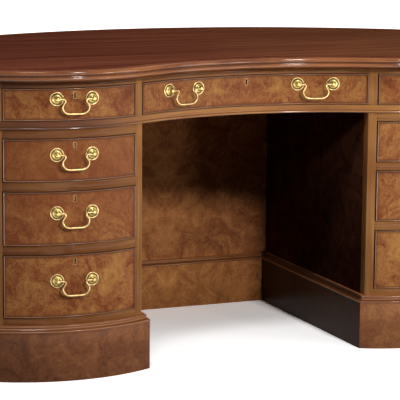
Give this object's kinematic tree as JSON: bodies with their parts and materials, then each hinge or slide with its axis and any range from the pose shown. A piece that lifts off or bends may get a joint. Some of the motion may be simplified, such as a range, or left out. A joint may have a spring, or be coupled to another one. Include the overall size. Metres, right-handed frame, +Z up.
{
  "type": "kidney-shaped pedestal desk",
  "caption": "Kidney-shaped desk with a moulded top, bow-fronted drawers in a frieze and two pedestals, bail handles and a tall moulded plinth.",
  "frame": {"origin": "on the floor, under the middle of the overall footprint", "axes": "+X along the desk's width, +Y from the kneehole side to the back, +Z up"},
  "size_m": [1.8298, 1.0076, 0.762],
  "materials": {
    "top_veneer": "polished, dark red-brown streaky veneer with a cross-grained border",
    "frame_wood": "polished, straight-grained",
    "case_veneer": "polished veneer",
    "drawer_veneer": "polished figured veneer",
    "kneehole_veneer": "polished, straight-grained",
    "plinth_veneer": "polished figured veneer",
    "drawer_lining": "bare smooth wood",
    "carcase_wood": "bare smooth wood",
    "brass": "polished, slightly toned"
  },
  "bodies": {
    "case": {"back_plinth": "plinth_veneer", "centre_back_panel": "case_veneer", "face_frames": "frame_wood", "frieze_partitions": "carcase_wood", "frieze_shell": "case_veneer", "frieze_stiles": "frame_wood", "frieze_top_rail": "frame_wood", "kneehole_plinth": "plinth_veneer", "left_inner_case": "carcase_wood", "left_kneehole_side": "kneehole_veneer", "left_pedestal_shell": "case_veneer", "modesty_panel": "kneehole_veneer", "pedestal_plinths": "plinth_veneer", "right_inner_case": "carcase_wood", "right_kneehole_side": "kneehole_veneer", "right_pedestal_shell": "case_veneer", "top_board": "top_veneer", "waist_board": "frame_wood"},
    "centre_frieze_drawer": {"centre_frieze_drawer_front": "drawer_veneer", "centre_frieze_drawer_box": "drawer_lining", "centre_frieze_drawer_brasses": "brass"},
    "centre_frieze_drawer_left_bail": {"centre_frieze_drawer_left_bail": "brass"},
    "centre_frieze_drawer_right_bail": {"centre_frieze_drawer_right_bail": "brass"},
    "left_frieze_drawer": {"left_frieze_drawer_front": "drawer_veneer", "left_frieze_drawer_box": "drawer_lining", "left_frieze_drawer_brasses": "brass"},
    "left_frieze_drawer_bail": {"left_frieze_drawer_bail": "brass"},
    "left_upper_drawer": {"left_upper_drawer_front": "drawer_veneer", "left_upper_drawer_box": "drawer_lining", "left_upper_drawer_brasses": "brass"},
    "left_upper_drawer_bail": {"left_upper_drawer_bail": "brass"},
    "left_middle_drawer": {"left_middle_drawer_front": "drawer_veneer", "left_middle_drawer_box": "drawer_lining", "left_middle_drawer_brasses": "brass"},
    "left_middle_drawer_bail": {"left_middle_drawer_bail": "brass"},
    "left_lower_drawer": {"left_lower_drawer_front": "drawer_veneer", "left_lower_drawer_box": "drawer_lining", "left_lower_drawer_brasses": "brass"},
    "left_lower_drawer_bail": {"left_lower_drawer_bail": "brass"},
    "right_frieze_drawer": {"right_frieze_drawer_front": "drawer_veneer", "right_frieze_drawer_box": "drawer_lining", "right_frieze_drawer_brasses": "brass"},
    "right_frieze_drawer_bail": {"right_frieze_drawer_bail": "brass"},
    "right_upper_drawer": {"right_upper_drawer_front": "drawer_veneer", "right_upper_drawer_box": "drawer_lining", "right_upper_drawer_brasses": "brass"},
    "right_upper_drawer_bail": {"right_upper_drawer_bail": "brass"},
    "right_middle_drawer": {"right_middle_drawer_front": "drawer_veneer", "right_middle_drawer_box": "drawer_lining", "right_middle_drawer_brasses": "brass"},
    "right_middle_drawer_bail": {"right_middle_drawer_bail": "brass"},
    "right_lower_drawer": {"right_lower_drawer_front": "drawer_veneer", "right_lower_drawer_box": "drawer_lining", "right_lower_drawer_brasses": "brass"},
    "right_lower_drawer_bail": {"right_lower_drawer_bail": "brass"}
  },
  "joints": [
    {"name": "centre_frieze_drawer_slide", "type": "slide", "parent": "case", "child": "centre_frieze_drawer", "axis": [0, -1, 0], "range_m": [0, 0.36]},
    {"name": "centre_frieze_drawer_left_bail_hinge", "type": "hinge", "parent": "centre_frieze_drawer", "child": "centre_frieze_drawer_left_bail", "pos_m": [-0.17828, -0.39874, 0.693], "axis": [-0.9633, -0.2683, 0], "range_deg": [-12, 170]},
    {"name": "centre_frieze_drawer_right_bail_hinge", "type": "hinge", "parent": "centre_frieze_drawer", "child": "centre_frieze_drawer_right_bail", "pos_m": [0.17828, -0.39874, 0.693], "axis": [-0.9633, 0.2683, 0], "range_deg": [-12, 170]},
    {"name": "left_frieze_drawer_slide", "type": "slide", "parent": "case", "child": "left_frieze_drawer", "axis": [0, -1, 0], "range_m": [0, 0.4]},
    {"name": "left_frieze_drawer_bail_hinge", "type": "hinge", "parent": "left_frieze_drawer", "child": "left_frieze_drawer_bail", "pos_m": [-0.50248, -0.48699, 0.693], "axis": [-0.9994, 0.0333, 0], "range_deg": [-12, 170]},
    {"name": "left_upper_drawer_slide", "type": "slide", "parent": "case", "child": "left_upper_drawer", "axis": [0, -1, 0], "range_m": [0, 0.4]},
    {"name": "left_upper_drawer_bail_hinge", "type": "hinge", "parent": "left_upper_drawer", "child": "left_upper_drawer_bail", "pos_m": [-0.50248, -0.48699, 0.55751], "axis": [-0.9994, 0.0333, 0], "range_deg": [-12, 170]},
    {"name": "left_middle_drawer_slide", "type": "slide", "parent": "case", "child": "left_middle_drawer", "axis": [0, -1, 0], "range_m": [0, 0.4]},
    {"name": "left_middle_drawer_bail_hinge", "type": "hinge", "parent": "left_middle_drawer", "child": "left_middle_drawer_bail", "pos_m": [-0.50248, -0.48699, 0.41501], "axis": [-0.9994, 0.0333, 0], "range_deg": [-12, 170]},
    {"name": "left_lower_drawer_slide", "type": "slide", "parent": "case", "child": "left_lower_drawer", "axis": [0, -1, 0], "range_m": [0, 0.4]},
    {"name": "left_lower_drawer_bail_hinge", "type": "hinge", "parent": "left_lower_drawer", "child": "left_lower_drawer_bail", "pos_m": [-0.50248, -0.48699, 0.24751], "axis": [-0.9994, 0.0333, 0], "range_deg": [-12, 170]},
    {"name": "right_frieze_drawer_slide", "type": "slide", "parent": "case", "child": "right_frieze_drawer", "axis": [0, -1, 0], "range_m": [0, 0.4]},
    {"name": "right_frieze_drawer_bail_hinge", "type": "hinge", "parent": "right_frieze_drawer", "child": "right_frieze_drawer_bail", "pos_m": [0.50248, -0.48699, 0.693], "axis": [-0.9994, -0.0333, 0], "range_deg": [-12, 170]},
    {"name": "right_upper_drawer_slide", "type": "slide", "parent": "case", "child": "right_upper_drawer", "axis": [0, -1, 0], "range_m": [0, 0.4]},
    {"name": "right_upper_drawer_bail_hinge", "type": "hinge", "parent": "right_upper_drawer", "child": "right_upper_drawer_bail", "pos_m": [0.50248, -0.48699, 0.55751], "axis": [-0.9994, -0.0333, 0], "range_deg": [-12, 170]},
    {"name": "right_middle_drawer_slide", "type": "slide", "parent": "case", "child": "right_middle_drawer", "axis": [0, -1, 0], "range_m": [0, 0.4]},
    {"name": "right_middle_drawer_bail_hinge", "type": "hinge", "parent": "right_middle_drawer", "child": "right_middle_drawer_bail", "pos_m": [0.50248, -0.48699, 0.41501], "axis": [-0.9994, -0.0333, 0], "range_deg": [-12, 170]},
    {"name": "right_lower_drawer_slide", "type": "slide", "parent": "case", "child": "right_lower_drawer", "axis": [0, -1, 0], "range_m": [0, 0.4]},
    {"name": "right_lower_drawer_bail_hinge", "type": "hinge", "parent": "right_lower_drawer", "child": "right_lower_drawer_bail", "pos_m": [0.50248, -0.48699, 0.24751], "axis": [-0.9994, -0.0333, 0], "range_deg": [-12, 170]}
  ]
}
